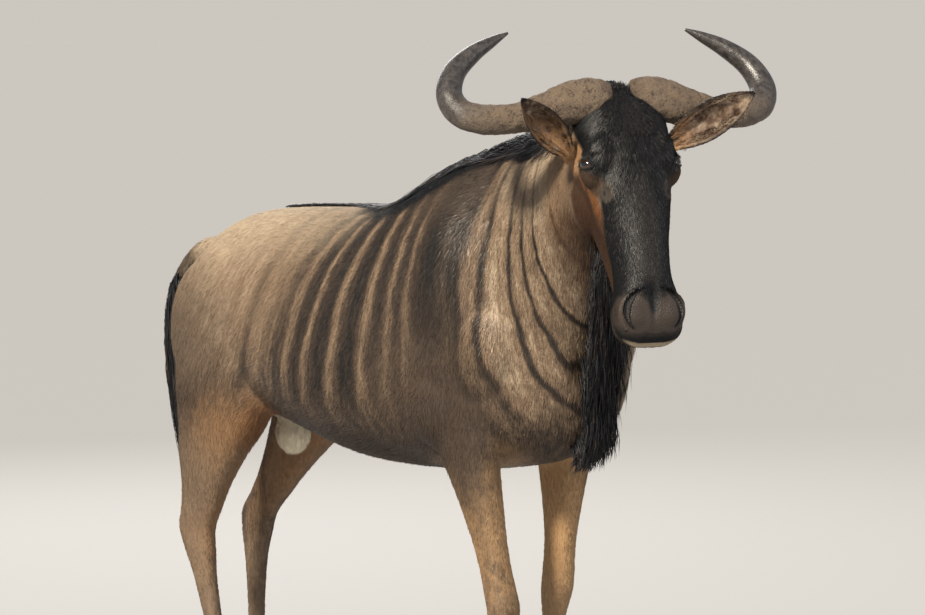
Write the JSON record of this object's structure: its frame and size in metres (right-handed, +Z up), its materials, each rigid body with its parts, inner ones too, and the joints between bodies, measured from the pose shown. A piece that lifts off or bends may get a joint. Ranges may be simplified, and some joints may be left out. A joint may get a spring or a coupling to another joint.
{
  "type": "wildebeest",
  "caption": "Life-size still model of a blue wildebeest bull, standing square with raised, turned head, curved horns, mane, beard and long tail.",
  "frame": {"origin": "on the floor, under the middle of the whole animal's bounding box", "axes": "+X the way the body faces, +Y the animal's left, +Z up"},
  "size_m": [1.8212, 0.654, 1.6624],
  "materials": {
    "coat": "short grey-brown coat with dark upright stripes",
    "face": "short black face hair with a bluish sheen",
    "ear": "short hair, dark rim, pale hair inside the cup",
    "long_hair": "long black hair",
    "horn": "rough brown boss, smooth dark tip",
    "hoof": "dull dark horn",
    "eye": "wet gloss"
  },
  "bodies": {
    "root": {"torso": "coat", "neck": "coat", "head": "face", "ear_left": "ear", "ear_right": "ear", "eye_left": "eye", "eye_right": "eye", "horn_left": "horn", "horn_right": "horn", "tail": "long_hair", "leg_front_left": "coat", "leg_front_right": "coat", "leg_hind_left": "coat", "leg_hind_right": "coat", "hoof_front_left_inner": "hoof", "hoof_front_left_outer": "hoof", "hoof_front_right_inner": "hoof", "hoof_front_right_outer": "hoof", "hoof_hind_left_inner": "hoof", "hoof_hind_left_outer": "hoof", "hoof_hind_right_inner": "hoof", "hoof_hind_right_outer": "hoof", "dewclaw_front_left_inner": "hoof", "dewclaw_front_left_outer": "hoof", "dewclaw_front_right_inner": "hoof", "dewclaw_front_right_outer": "hoof", "dewclaw_hind_left_inner": "hoof", "dewclaw_hind_left_outer": "hoof", "dewclaw_hind_right_inner": "hoof", "dewclaw_hind_right_outer": "hoof"}
  },
  "joints": []
}
